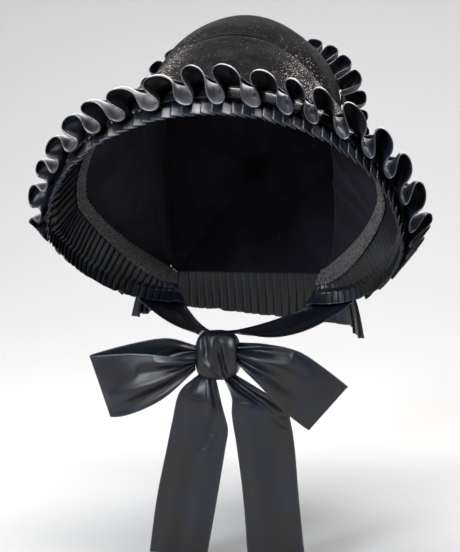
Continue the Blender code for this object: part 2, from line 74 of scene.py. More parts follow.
def unit(vectors):
    return vectors / np.maximum(np.linalg.norm(vectors, axis=-1, keepdims=True), 1e-12)


# Running length of a line of points, from its first point.
def lineLengths(points):
    return np.concatenate([[0.0], np.cumsum(np.linalg.norm(np.diff(points, axis=0), axis=-1))])


# One half of a section: x = side sin(a)^(2/arch) and rise cos(a)^(2/arch) down to the widest
# point, then the same kind of arc in to the neck edge.
def halfSection(name, upper, lower):
    row = dict(zip(sectionNames, sections[name]))
    front, behind = shell["brimReach"], shell["crownLength"]
    ys = [row[k] * (front if row[k] < 0 else behind) for k in ("topY", "sideY", "endY")]
    zs = [row[k] * (shell["napeDrop"] if row[k] < 0 else shell["crownHeight"])
          for k in ("topZ", "sideZ", "endZ")]
    sideX, endX = row["sideX"] * shell["halfWidth"], row["endX"] * shell["halfWidth"]
    rise = np.clip(np.cos(upper), 0, 1) ** (2 / row["arch"])
    spread = np.sin(upper) ** (2 / row["arch"])
    top = np.stack([sideX * spread, ys[1] + (ys[0] - ys[1]) * rise,
                    zs[1] + (zs[0] - zs[1]) * rise], axis=-1)
    stay = np.clip(np.cos(lower), 0, 1) ** (2 / row["cheek"])
    fall = np.sin(lower) ** (2 / row["cheek"])
    bottom = np.stack([endX + (sideX - endX) * stay, ys[1] + (ys[2] - ys[1]) * fall,
                       zs[1] + (zs[2] - zs[1]) * fall], axis=-1)
    return top, bottom


# Angles that cut the rim's two arcs into equal lengths, which every section then uses.
def evenAngles():
    fine = np.linspace(0, math.pi / 2, 400)
    found = []
    for arc in halfSection("rim", fine, fine):
        lengths = lineLengths(arc)
        wanted = np.linspace(0, lengths[-1], shell["columnsPerArc"] + 1)
        found.append(np.interp(wanted, lengths, fine))
    return found


def makeNet(names):
    upper, lower = evenAngles()
    rows = []
    for name in names:
        top, bottom = halfSection(name, upper, lower)
        half = np.concatenate([top, bottom[1:]])
        rows.append(np.concatenate([(half * (-1, 1, 1))[::-1], half[1:]]))
    return np.array(rows)


brimNet = makeNet(("rim", "braid", "flank", "mouth"))
crownNet = makeNet(("mouth", "front", "middle", "back", "tip"))
lastColumn = brimNet.shape[1] - 1


# Catmull-Rom weights of four neighbours, so that a curve runs smoothly through all its points.
def cubicWeights(share):
    t = share[..., None]
    return 0.5 * np.concatenate([-t ** 3 + 2 * t ** 2 - t, 3 * t ** 3 - 5 * t ** 2 + 2,
                                 -3 * t ** 3 + 4 * t ** 2 + t, t ** 3 - t ** 2], axis=-1)


# Places on a net at any row and column: the smooth surface through the net's own points.
def onNet(net, row, column):
    row, column = np.broadcast_arrays(np.asarray(row, float), np.asarray(column, float))
    padded = np.pad(net, ((1, 1), (1, 1), (0, 0)), mode="reflect", reflect_type="odd")
    firstRow = np.clip(np.floor(row).astype(int), 0, net.shape[0] - 2)
    firstColumn = np.clip(np.floor(column).astype(int), 0, net.shape[1] - 2)
    down, over = cubicWeights(row - firstRow), cubicWeights(column - firstColumn)
    made = np.zeros(row.shape + (3,))
    for i in range(4):
        for j in range(4):
            share = down[..., i] * over[..., j]
            made += padded[firstRow + i, firstColumn + j] * share[..., None]
    return made


# A point lifted off the net along its outward normal, which is columns crossed with rows.
def liftedOff(net, row, column, lift):
    step = 0.04
    down = onNet(net, row + step, column) - onNet(net, row - step, column)
    over = onNet(net, row, column + step) - onNet(net, row, column - step)
    return onNet(net, row, column) + unit(np.cross(over, down)) * np.asarray(lift)[..., None]


# The row that lies a given length behind the net's first row, measured along each column.
def rowBehind(net, column, distance):
    rows = np.linspace(0, net.shape[0] - 1, 20 * (net.shape[0] - 1) + 1)
    lines = onNet(net, rows[:, None], np.arange(net.shape[1])[None])
    steps = np.linalg.norm(np.diff(lines, axis=0), axis=-1)
    lengths = np.concatenate([np.zeros((1, net.shape[1])), np.cumsum(steps, axis=0)])
    column, distance = np.broadcast_arrays(np.asarray(column, float), np.asarray(distance, float))
    place, wanted = np.clip(column.ravel(), 0, net.shape[1] - 1.001), distance.ravel()
    low = place.astype(int)
    share = place - low
    here = lengths[:, low] * (1 - share) + lengths[:, low + 1] * share
    index = np.clip((here <= wanted).sum(axis=0) - 1, 0, len(rows) - 2)
    each = np.arange(len(place))
    start, end = here[index, each], here[index + 1, each]
    return (rows[index] + (wanted - start) / (end - start) * rows[1]).reshape(column.shape)


# The column at a share of a row's whole length.
def columnAt(net, row, share):
    fine = np.linspace(0, net.shape[1] - 1, 900)
    lengths = lineLengths(onNet(net, row, fine))
    return np.interp(share, lengths / lengths[-1], fine), lengths[-1]


# Finishes
# A node group with a Vector input, more inputs with their values, and outputs, all plain numbers.
def groupOf(name, values, outputs):
    made = bpy.data.node_groups.new(name, "ShaderNodeTree")
    made.interface.new_socket("Vector", in_out="INPUT", socket_type="NodeSocketVector")
    for title, value in values.items():
        made.interface.new_socket(title, in_out="INPUT", socket_type="NodeSocketFloat").default_value = value
    for title in outputs:
        made.interface.new_socket(title, in_out="OUTPUT", socket_type="NodeSocketFloat")
    return made, made.nodes.new("NodeGroupInput").outputs, made.nodes.new("NodeGroupOutput").inputs


def put(tree, kind, **settings):
    made = tree.nodes.new("ShaderNode" + kind)
    for key, value in settings.items():
        setattr(made, key, value)
    return made


# A socket takes a number or a colour as its own value, and anything else as a link.
def feed(tree, socket, value):
    if isinstance(value, (int, float)):
        socket.default_value = value
    elif isinstance(value, tuple):
        socket.default_value = (*value, 1.0)
    elif value is not None:
        tree.links.new(value, socket)


def worked(tree, operation, first, second=None):
    made = put(tree, "Math", operation=operation)
    feed(tree, made.inputs[0], first)
    feed(tree, made.inputs[1], second)
    return made.outputs[0]


def mapped(tree, value, low, high, newLow=0.0, newHigh=1.0):
    made = put(tree, "MapRange", interpolation_type="SMOOTHSTEP")
    tree.links.new(value, made.inputs["Value"])
    for key, number in zip(("From Min", "From Max", "To Min", "To Max"), (low, high, newLow, newHigh)):
        made.inputs[key].default_value = number
    return made.outputs["Result"]


def noise(tree, vector, scale, detail=2.0, rough=0.5):
    made = put(tree, "TexNoise")
    tree.links.new(vector, made.inputs["Vector"])
    for key, value in (("Scale", scale), ("Detail", detail), ("Roughness", rough)):
        feed(tree, made.inputs[key], value)
    return made.outputs[0]


def splitOf(tree, vector):
    made = put(tree, "SeparateXYZ")
    tree.links.new(vector, made.inputs[0])
    return made.outputs


# Threads: two crossed sets of fine bands on the cloth's own UV, in threads per metre.
def weaveGroup():
    group, start, end = groupOf("clothWeave", {"Warp": 3000.0, "Weft": 1500.0}, ("Height", "Slub"))
    split = splitOf(group, start["Vector"])
    bands = []
    for axis, key, share in ((1, "Warp", 0.7), (0, "Weft", 0.3)):
        turns = worked(group, "MULTIPLY", split[axis], start[key])
        band = worked(group, "SINE", worked(group, "MULTIPLY", turns, 2 * math.pi))
        bands.append(worked(group, "MULTIPLY", band, share))
    stretch = put(group, "Mapping")
    stretch.inputs["Scale"].default_value = (60.0, 900.0, 1.0)
    group.links.new(start["Vector"], stretch.inputs["Vector"])
    group.links.new(worked(group, "ADD", *bands), end["Height"])
    group.links.new(noise(group, stretch.outputs[0], 1.0, 3.0), end["Slub"])
    return group


# Soft handling creases: broad and fine noise added up.
def creaseGroup():
    group, start, end = groupOf("softCreases", {"Broad": 35.0, "Fine": 140.0}, ("Height", "Blotch"))
    broad, fine = (noise(group, start["Vector"], start[key]) for key in ("Broad", "Fine"))
    group.links.new(worked(group, "ADD", broad, worked(group, "MULTIPLY", fine, 0.3)), end["Height"])
    group.links.new(broad, end["Blotch"])
    return group


# Glints of crushed pile: the peaks of a noise drawn out into short strokes, more of them where lifted.
def glintGroup():
    group, start, end = groupOf("pileGlints", {"Lift": 0.0, "Size": 600.0}, ("Mask",))
    bend = noise(group, start["Vector"], 70.0)
    shifted = put(group, "VectorMath", operation="MULTIPLY_ADD")
    group.links.new(bend, shifted.inputs[0])
    shifted.inputs[1].default_value = (0.010, 0.006, 0.010)
    group.links.new(start["Vector"], shifted.inputs[2])
    stretch = put(group, "Mapping")
    stretch.inputs["Scale"].default_value = (1.0, 0.6, 0.36)
    stretch.inputs["Rotation"].default_value = (0.2, 0.5, 0.0)
    group.links.new(shifted.outputs[0], stretch.inputs["Vector"])
    peaks = noise(group, stretch.outputs[0], start["Size"], 3.0, 0.6)
    over = worked(group, "ADD", peaks, worked(group, "MULTIPLY", start["Lift"], 0.13))
    group.links.new(mapped(group, over, 0.67, 0.74), end["Mask"])
    return group


weave, creases, glints = weaveGroup(), creaseGroup(), glintGroup()


def useGroup(tree, group, vector, **values):
    made = tree.nodes.new("ShaderNodeGroup")
    made.node_tree = group
    tree.links.new(vector, made.inputs["Vector"])
    for key, value in values.items():
        feed(tree, made.inputs[key], value)
    return made.outputs


def blendColours(tree, mask, first, second):
    made = put(tree, "Mix", data_type="RGBA")
    for index, value in ((0, mask), (6, first), (7, second)):
        feed(tree, made.inputs[index], value)
    return made.outputs[2]


def newMaterial(name, roughness, **shaderValues):
    made = bpy.data.materials.new(name)
    made.use_nodes = True
    tree = made.node_tree
    shader = tree.nodes["Principled BSDF"].inputs
    shader["Roughness"].default_value = roughness
    for key, value in shaderValues.items():
        shader[key.replace("_", " ")].default_value = value
    return made, tree, shader


def bumpInto(tree, shader, heights):
    before = None
    for height, strength, distance in heights:
        bump = put(tree, "Bump")
        bump.inputs["Strength"].default_value = strength
        bump.inputs["Distance"].default_value = distance
        tree.links.new(height, bump.inputs["Height"])
        if before is not None:
            tree.links.new(before, bump.inputs["Normal"])
        before = bump.outputs[0]
    tree.links.new(before, shader["Normal"])


# The lighter edge colour is a painted highlight along the ribbons' rounded edges.
satinLook = {"blue": (0.0048, 0.0074, 0.0140), "brown": (0.0080, 0.0060, 0.0060),
             "edgeHighlight": (0.022, 0.024, 0.030), "roughness": (0.32, 0.44), "creaseDepth": 0.0010}


def makeSatin(name, look):
    made, tree, shader = newMaterial(name, 0.34, Specular_IOR_Level=0.42, Anisotropic=0.3)
    uv = put(tree, "UVMap", uv_map="cloth").outputs[0]
    place = put(tree, "TexCoord").outputs["Object"]
    threads = useGroup(tree, weave, uv, Warp=2600.0, Weft=1500.0)
    soft = useGroup(tree, creases, place, Broad=28.0, Fine=120.0)
    hem = put(tree, "Attribute", attribute_name="hem")
    tint = blendColours(tree, mapped(tree, soft["Blotch"], 0.35, 0.65), look["blue"], look["brown"])
    # Where the hem attribute is on, the colour turns lighter: a painted highlight of the rounded edge.
    colour = blendColours(tree, hem.outputs["Fac"], tint, look["edgeHighlight"])
    tree.links.new(colour, shader["Base Color"])
    tree.links.new(mapped(tree, threads["Slub"], 0.3, 0.7, *look["roughness"]), shader["Roughness"])
    bumpInto(tree, shader, ((soft["Height"], 0.22, look["creaseDepth"]), (threads["Height"], 0.10, 0.0002)))
    return made


# Painted glints gather in patches at both flanks of the front: from the first to the second of aside,
# forward and high, which are metres along X, Y and Z. The look's second pile colour is the lighter tone of a
# random mottle.
velvetLook = {"deep": (0.0012, 0.0011, 0.0013), "pileMottleAndGlintPatch": (0.0046, 0.0040, 0.0042),
              "glint": (0.20, 0.175, 0.15), "glintSize": 820.0, "middle": 0.006,
              "aside": (0.026, 0.062), "forward": (0.03, -0.02), "high": (0.01, 0.07)}


def makeVelvet(name, look):
    made, tree, shader = newMaterial(name, 0.9, Specular_IOR_Level=0.03)
    place = put(tree, "TexCoord").outputs["Object"]
    soft = useGroup(tree, creases, place, Broad=60.0, Fine=420.0)
    split = splitOf(tree, place)
    offCentre = worked(tree, "ABSOLUTE", worked(tree, "ADD", split[0], -look["middle"]))
    aside = mapped(tree, offCentre, *look["aside"], 0.0, 0.90)
    forward = mapped(tree, split[1], *look["forward"])
    high = mapped(tree, split[2], *look["high"])
    patch = mapped(tree, noise(tree, place, 38.0), 0.24, 0.46)
    front = worked(tree, "MULTIPLY", aside, forward)
    # The patch where the painted glints gather, at the front's flanks; it marks no wear of the pile.
    pileMottleAndGlintPatch = worked(tree, "MULTIPLY", front, worked(tree, "MULTIPLY", patch, high))
    sparks = useGroup(tree, glints, place, Lift=pileMottleAndGlintPatch, Size=look["glintSize"])["Mask"]
    pile = blendColours(tree, mapped(tree, soft["Height"], 0.55, 0.85), look["deep"], look["pileMottleAndGlintPatch"])
    # The glints are painted highlights: a light base colour with lower roughness wherever the glint mask is
    # on.
    tree.links.new(blendColours(tree, sparks, pile, look["glint"]), shader["Base Color"])
    tree.links.new(mapped(tree, sparks, 0.0, 1.0, 0.92, 0.45), shader["Roughness"])
    bumpInto(tree, shader, ((soft["Height"], 0.6, 0.0012), (noise(tree, place, 1500.0, 3.0), 0.5, 0.0004)))
    return made


liningLook = {"deep": (0.0050, 0.0042, 0.0080), "lit": (0.012, 0.010, 0.017), "glintSpeck": (0.05, 0.04, 0.05)}


def makeLining(name, look):
    made, tree, shader = newMaterial(name, 0.85, Sheen_Weight=0.04, Sheen_Roughness=0.5,
                                     Specular_IOR_Level=0.15)
    place = put(tree, "TexCoord").outputs["Object"]
    soft = useGroup(tree, creases, place, Broad=22.0, Fine=90.0)["Height"]
    # Sparse painted glints: light specks put into the base colour.
    sparks = useGroup(tree, glints, place, Lift=0.0, Size=700.0)["Mask"]
    nap = blendColours(tree, mapped(tree, soft, 0.5, 0.9), look["deep"], look["lit"])
    tree.links.new(blendColours(tree, sparks, nap, look["glintSpeck"]), shader["Base Color"])
    bumpInto(tree, shader, ((soft, 0.6, 0.002), (noise(tree, place, 1300.0, 3.0), 0.4, 0.0003)))
    return made


# Twists are radians of ply per metre along the cord.
cordLook = {"deep": (0.030, 0.025, 0.025), "lit": (0.21, 0.18, 0.17), "twists": 7000.0, "plies": 2}


def makeCordCloth(name, look):
    made, tree, shader = newMaterial(name, 0.7, Sheen_Weight=0.08, Specular_IOR_Level=0.35)
    split = splitOf(tree, put(tree, "UVMap", uv_map="cloth").outputs[0])
    twist = worked(tree, "ADD", worked(tree, "MULTIPLY", split[0], look["twists"]),
                   worked(tree, "MULTIPLY", split[1], 2 * math.pi * look["plies"]))
    ply = worked(tree, "SINE", twist)
    fuzz = noise(tree, put(tree, "TexCoord").outputs["Object"], 900.0, 3.0)
    colour = blendColours(tree, mapped(tree, fuzz, 0.35, 0.7), look["deep"], look["lit"])
    tree.links.new(colour, shader["Base Color"])
    bumpInto(tree, shader, ((ply, 0.7, 0.0003), (fuzz, 0.5, 0.0004)))
    return made


satin = makeSatin("blackSatin", satinLook)
velvet = makeVelvet("crushedVelvet", velvetLook)
liningCloth = makeLining("plumBlackLining", liningLook)
cordCloth = makeCordCloth("braidCord", cordLook)
print("finishes made")


def placed(name, data):
    made = bpy.data.objects.new(name, data)
    bpy.context.scene.collection.objects.link(made)
    return made


# Meshes
# Vertices, quads and per-vertex values go into one mesh. A quad whose first or last corner comes
# twice is a triangle. The faces are turned outwards by the sign of the volume that they enclose.
def meshPiece(name, points, faces, material, uv=None, hem=None):
    a, b, c, d = (points[faces[:, k]] for k in range(4))
    volume = (np.einsum("ij,ij->i", a, np.cross(b, c)) + np.einsum("ij,ij->i", a, np.cross(c, d))).sum()
    if volume < 0:
        faces = faces[:, ::-1]
    single = faces[:, 2] == faces[:, 3]
    twice = faces[:, 0] == faces[:, 1]
    corners = np.concatenate([faces[single][:, :3], faces[twice][:, 1:]])
    mesh = bpy.data.meshes.new(name)
    mesh.from_pydata(points.tolist(), [], faces[~(single | twice)].tolist() + corners.tolist())
    mesh.polygons.foreach_set("use_smooth", np.ones(len(mesh.polygons), bool))
    corner = np.zeros(len(mesh.loops), np.int32)
    mesh.loops.foreach_get("vertex_index", corner)
    if uv is not None:
        layer = mesh.uv_layers.new(name="cloth")
        layer.data.foreach_set("uv", uv[corner].astype(np.float32).ravel())
    if hem is not None:
        mesh.attributes.new("hem", "FLOAT", "POINT").data.foreach_set("value", hem.astype(np.float32))
    mesh.materials.append(material)
    mesh.validate()
    return placed(name, mesh)


def wear(piece, node):
    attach(piece, "root")
    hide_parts(node)
    return piece


# Quads between the rings of a grid. The rings close on each other, or each one on itself.
def ringFaces(rings, columns, closed, around=False):
    here, column = np.meshgrid(np.arange(rings if closed else rings - 1),
                               np.arange(columns if around else columns - 1), indexing="ij")
    following, beside = (here + 1) % rings, (column + 1) % columns
    return np.stack([here * columns + column, here * columns + beside,
                     following * columns + beside, following * columns + column], axis=-1).reshape(-1, 4)


# A sheet of cloth round a grid, which runs across the cloth by rows and along it by columns.
# Each column is a closed ring: front face, rounded edge, back face, rounded edge. The two long
# edges swell by bead into a thicker rounded edge, where edges says so, and hem marks it for the finish, which
# paints a lighter colour there as a painted highlight of that edge. Both ends are closed by strips between
# front and back.
def clothPiece(name, grid, thickness, material, bead=0.0, hemWidth=0.0009, edgeHighlightStrength=1.0,
               edges=(True, True)):
    rows, columns = grid.shape[:2]
    normal = unit(np.cross(np.gradient(grid, axis=1), np.gradient(grid, axis=0)))
    across = np.array([lineLengths(grid[:, k]) for k in range(0, columns, max(1, columns // 8))]).mean(axis=0)
    fromEdge = np.minimum(across if edges[0] else 1, across[-1] - across if edges[1] else 1)
    swell = np.exp(-(fromEdge / hemWidth) ** 2)
    half = (thickness + bead * swell)[:, None, None] / 2
    front, back = grid + normal * half, grid - normal * half
    firstEdge = grid[0] + unit(grid[0] - grid[1]) * half[0]
    lastEdge = grid[-1] + unit(grid[-1] - grid[-2]) * half[-1]
    rings = np.concatenate([firstEdge[None], front, lastEdge[None], back[::-1]])
    faces = ringFaces(len(rings), columns, True)
    row = np.arange(rows - 1)
    caps = []
    for column in (0, columns - 1):
        cap = np.stack([1 + row, 2 + row, 2 * rows - row, 2 * rows + 1 - row], axis=-1)
        ends = np.array([[0, 1, 2 * rows + 1, 2 * rows + 1], [rows + 1, rows + 2, rows, rows]])
        cap = np.concatenate([cap, ends]) * columns + column
        caps.append(cap[:, ::-1] if column else cap)
    along = np.array([lineLengths(grid[k]) for k in (0, rows // 2, rows - 1)]).max(axis=0)
    order = np.concatenate([[0], np.arange(rows), [rows - 1], np.arange(rows)[::-1]])
    uv = np.stack(np.broadcast_arrays(along[None], across[order][:, None]), axis=-1).reshape(-1, 2)
    hem = np.broadcast_to((swell * edgeHighlightStrength)[order][:, None], (len(order), columns)).ravel()
    return meshPiece(name, rings.reshape(-1, 3), np.concatenate([faces] + caps), material, uv, hem)


# Triangles from each side of a ring to one middle point.
def fan(start, end, middle):
    return np.stack(np.broadcast_arrays(start, end, middle, middle), axis=-1)


# A cord: rings of a few points round each place of a path, between its normal and its side.
def cordPoints(path, up, radius, sides):
    ahead = unit(np.gradient(path, axis=0))
    side = unit(np.cross(ahead, up))
    up = np.cross(side, ahead)
    turn = np.linspace(0, 2 * math.pi, sides, endpoint=False)[:, None, None]
    return path[None] + radius * (np.cos(turn) * up[None] + np.sin(turn) * side[None])


def cordsPiece(name, paths, ups, radius, sides, material):
    points, faces, uvs, count = [], [], [], 0
    for path, up in zip(paths, ups):
        ring = cordPoints(path, up, radius, sides)
        ends = path[[0, -1]]
        points.append(np.concatenate([ring.reshape(-1, 3), ends]))
        columns = len(path)
        side = np.arange(sides)
        beside = (side + 1) % sides
        total = sides * columns
        tips = [fan(side * columns, beside * columns, total),
                fan(beside * columns + columns - 1, side * columns + columns - 1, total + 1)]
        faces.append(np.concatenate([ringFaces(sides, columns, True)] + tips) + count)
        along = lineLengths(path)
        uv = np.stack(np.broadcast_arrays(along[None], (np.arange(sides) / sides)[:, None]), axis=-1)
        uvs.append(np.concatenate([uv.reshape(-1, 2), [[0, 0], [along[-1], 0]]]))
        count += total + 2
    return meshPiece(name, np.concatenate(points), np.concatenate(faces), material, np.concatenate(uvs))


# A wall: an outer grid and an inner one, joined all round their border. The inner faces may have
# a material of their own.
def wallPiece(name, outer, inner, material, inside=None):
    rows, columns = outer.shape[:2]
    count = rows * columns
    outside = ringFaces(rows, columns, False)
    within = ringFaces(rows, columns, False)[:, ::-1] + count
    top, bottom = np.arange(columns), (rows - 1) * columns + np.arange(columns)
    left = np.arange(rows) * columns
    right = left + columns - 1
    border = [np.stack([line[1:], line[:-1], line[:-1] + count, line[1:] + count], axis=-1)
              for line in (top, bottom[::-1], left[::-1], right)]
    points = np.concatenate([outer.reshape(-1, 3), inner.reshape(-1, 3)])
    made = meshPiece(name, points, np.concatenate([outside, within] + border), material)
    if inside is not None:
        made.data.materials.append(inside)
        share = np.repeat([0, 1, 0], [len(outside), len(within), sum(map(len, border))])
        made.data.polygons.foreach_set("material_index", share.astype(np.int32))
    return made


# Brim and lining
brimLook = {"projection": 0.014, "rows": 26, "columns": 300, "ripple": 0.0005}


def makeBrim(look):
    column = np.linspace(0, lastColumn, look["columns"])
    front = rowBehind(brimNet, column, look["projection"])
    down = np.linspace(0, 1, look["rows"])[:, None]
    row = front + (2.997 - front) * down
    ripple = look["ripple"] * np.sin(column * 2.6) * np.sin(column * 0.9 + 6 * down) * (1 - down)
    return wallPiece("brim_velvet", liftedOff(brimNet, row, column, ripple),
                     liftedOff(brimNet, row, column, -shell["brimWall"]), velvet)


# Folds of the lining are at columns, lean by columns a row, and are so many columns wide.
liningShape = {"rows": 26, "columns": 300, "thickness": 0.0012, "foldDepth": 0.0016,
               "folds": ((41.5, -2.2, 0.5), (43, -1.4, 0.4))}


def makeLiningPiece(look):
    column = np.linspace(0, lastColumn, look["columns"])
    row = np.linspace(1.005, 2.985, look["rows"])[:, None]
    top = -shell["brimWall"] - shell["gap"]
    fold = sum(np.exp(-((column - middle - lean * (row - 2)) / width) ** 2)
               for middle, lean, width in look["folds"])
    inner = top - look["thickness"] - look["foldDepth"] * fold * np.clip(row - 1.2, 0, 1)
    return wallPiece("brim_lining_cloth", liftedOff(brimNet, row, column, top),
                     liftedOff(brimNet, row, column, inner), liningCloth)


wear(makeBrim(brimLook), "brim")
wear(makeLiningPiece(liningShape), "brim_lining")
print("brim made")


# Crown
crownLook = {"rows": 60, "columns": 240, "dent": 0.0008, "bulge": 0.022}


def makeCrown(look):
    column = np.linspace(0, lastColumn, look["columns"])
    row = np.linspace(0, 4, look["rows"])[:, None]
    dent = (look["dent"] * np.sin(column * 0.55 + 1.3 * row) * np.sin(row * 1.9 + 0.5)
            * np.sin(column / lastColumn * math.pi))
    return wallPiece("crown_velvet", liftedOff(crownNet, row, column, dent),
                     liftedOff(crownNet, row, column, dent - shell["crownWall"]), velvet, liningCloth)


# The crown's back: the tip section's outline shrinks to its middle while it bulges backwards
# by 1 - share squared.
def makeTip(look):
    column = np.linspace(0, lastColumn, 160)
    arch = onNet(crownNet, 4.0, column)
    share = np.linspace(0, 1, 40)[1:-1, None]
    ring = np.concatenate([arch, arch[-1] * (1 - share) + arch[0] * share])
    middle = np.array([0, ring[:, 1].mean(), (ring[:, 2].max() + ring[:, 2].min()) / 2])
    scale = np.sqrt(np.linspace(1, 0, 26))[:, None, None]
    layers = []
    for start in (shell["gap"] + shell["crownWall"], shell["gap"]):
        outwards = np.array([0, 1, 0]) * (start + look["bulge"] * (1 - scale ** 2))
        rows = middle + (ring - middle) * scale + outwards
        layers.append(np.concatenate([rows, rows[:, :1]], axis=1))
    return wallPiece("crown_tip_velvet", layers[0], layers[1], velvet, liningCloth)


wear(makeCrown(crownLook), "crown_band")
wear(makeTip(crownLook), "crown_tip")
print("crown made")


# Pleats
# Two thicknesses of satin: gathered ribbon, and the heavier ribbon of the ties and the curtain.
thin, stout = 0.00035, 0.0004


# Knife pleats. Each panel runs on past its inner fold while it sinks from height 0 to 1, then the
# cloth turns back under it to where the next panel starts. Places are in pleats.
def pleatCourse(pleats, overlap, panelSteps, returnSteps):
    forward, back = np.linspace(0, 1, panelSteps + 1)[:-1], np.linspace(0, 1, returnSteps + 1)[:-1]
    place = np.concatenate([forward * (1 + overlap), 1 + overlap * (1 - back)])
    depth = np.concatenate([forward + 0.10 * np.sin(forward * math.pi), 1 - back])
    each = np.arange(pleats)[:, None]
    return np.append((each + place).ravel(), pleats), np.append(np.tile(depth, pleats), 0.0)


facingLook = {"pleatsPerColumn": 2, "overlap": 0.5, "depth": 0.0033, "sewnDepth": 0.0011,
              "uneven": 0.0007, "unevenDepth": 0.16, "rows": 20, "sewnBehind": 1.06, "sag": 0.0022,
              "roll": 0.0030, "seed": 3}


def makeFacing(look):
    pleats = lastColumn * look["pleatsPerColumn"]
    place, depth = pleatCourse(pleats, look["overlap"], 7, 4)
    column = np.clip(place / look["pleatsPerColumn"], 0, lastColumn)
    wobble, knots = np.random.default_rng(look["seed"]), np.arange(pleats + 1)
    reach = np.interp(place, knots, wobble.normal(0, look["uneven"], pleats + 1))
    deep = 1 + look["unevenDepth"] * np.interp(place, knots, wobble.normal(0, 1, pleats + 1))
    down = np.linspace(0, 1, look["rows"])[:, None] ** 1.15
    start = rowBehind(brimNet, column, np.abs(reach) - 0.0002)
    row = start + (look["sewnBehind"] - start) * down
    free = (1 - down) ** 0.8
    full = (look["depth"] * free + look["sewnDepth"] * (1 - free)) * deep
    edge = rowBehind(brimNet, column, brimLook["projection"])
    ahead = np.clip(1 - row / edge, 0, 1)
    sag = look["sag"] * ahead - look["roll"] * np.minimum(ahead / 0.12, (1 - ahead) / 0.88)
    top = -shell["brimWall"] - shell["gap"] - 0.0003
    grid = liftedOff(brimNet, row, column, top - depth * full - sag)
    return clothPiece("facing_pleats", grid, thin, satin, bead=0.0003, hemWidth=0.0006, edges=(True, False))


wear(makeFacing(facingLook), "brim_pleating")
print("pleated facing made")


# Braid
# A cord is so far from the braid's middle, swings by so much, and starts at that share of a wave.
braidLook = {"width": 0.012, "before": 0.004, "wave": 0.0052, "stepsPerWave": 14, "radius": 0.00075,
             "sides": 6, "stripThickness": 0.0007,
             "cords": ((-0.0032, 0.0024, 0.0), (0.0032, 0.0024, 0.5),
                       (-0.0010, 0.0020, 0.25), (0.0012, 0.0020, 0.75))}


# Rows that lie a distance behind the net's second row, as a share of the space to its third.
def braidRow(column, distance):
    space = np.linalg.norm(onNet(brimNet, 2.0, column) - onNet(brimNet, 1.0, column), axis=-1)
    return 1.0 + distance / space


# Each cord swings sinusoidally across the braid while it passes over and under its neighbours at
# twice that pace; a thin strip lies below.
def makeBraid(look):
    base = -shell["brimWall"] - 0.0013 - 2 * (shell["gap"] + shell["ease"])
    fine = np.linspace(0, lastColumn, 500)
    total = lineLengths(onNet(brimNet, 1.0, fine))
    waves = int(total[-1] / look["wave"])
    along = np.linspace(0, waves, waves * look["stepsPerWave"] + 1)
    column = np.interp(along / waves * total[-1], total, fine)
    middle = look["width"] / 2 - look["before"]
    paths, ups = [], []
    for offset, swing, phase in look["cords"]:
        aside = middle + offset + swing * np.sin(2 * math.pi * (along + phase))
        rise = look["radius"] * (1.0 + 0.7 * np.cos(4 * math.pi * (along + phase)))
        lift = base - look["stripThickness"] - rise
        row = braidRow(column, aside)
        paths.append(liftedOff(brimNet, row, column, lift))
        ups.append(unit(liftedOff(brimNet, row, column, lift - 0.001) - paths[-1]))
    cords = cordsPiece("braid_cords", paths, ups, look["radius"], look["sides"], cordCloth)
    across = np.linspace(-look["before"] + 0.0006, look["width"] - look["before"] - 0.0012, 9)[:, None]
    grid = liftedOff(brimNet, braidRow(fine, across), fine, base - look["stripThickness"] / 2)
    return cords, clothPiece("braid_strip", grid, look["stripThickness"], cordCloth)


braidCords, braidStrip = makeBraid(braidLook)
wear(braidCords, "braid_trim")
wear(braidStrip, "braid_trim")
print("braid made")


# Ruffles
# One loop of a ribbon that swings from side to side: its heading is swing times a sine, squared
# off by tanh in two steps that lie a corner apart, which flattens tops and bottoms. It goes faster
# round the top, so the upper loops are the fuller ones.
def meander(swing, square, corner, fullTop, steps):
    fine = np.linspace(0, 2 * math.pi, 1441)
    steep = np.tanh(square * (np.sin(fine) - corner)) + np.tanh(square * (np.sin(fine) + corner))
    heading = swing * steep / steep.max()
    pace = 1 - fullTop * np.cos(fine)
    run, rise, length = (np.concatenate([[0.0], np.cumsum((value[1:] + value[:-1]) / 2)])
                         for value in (np.cos(heading) * pace, np.sin(heading) * pace, pace))
    even = np.linspace(0, length[-1], steps, endpoint=False)
    return np.interp(even, length, run) / run[-1], np.interp(even, length, rise) / rise.max()


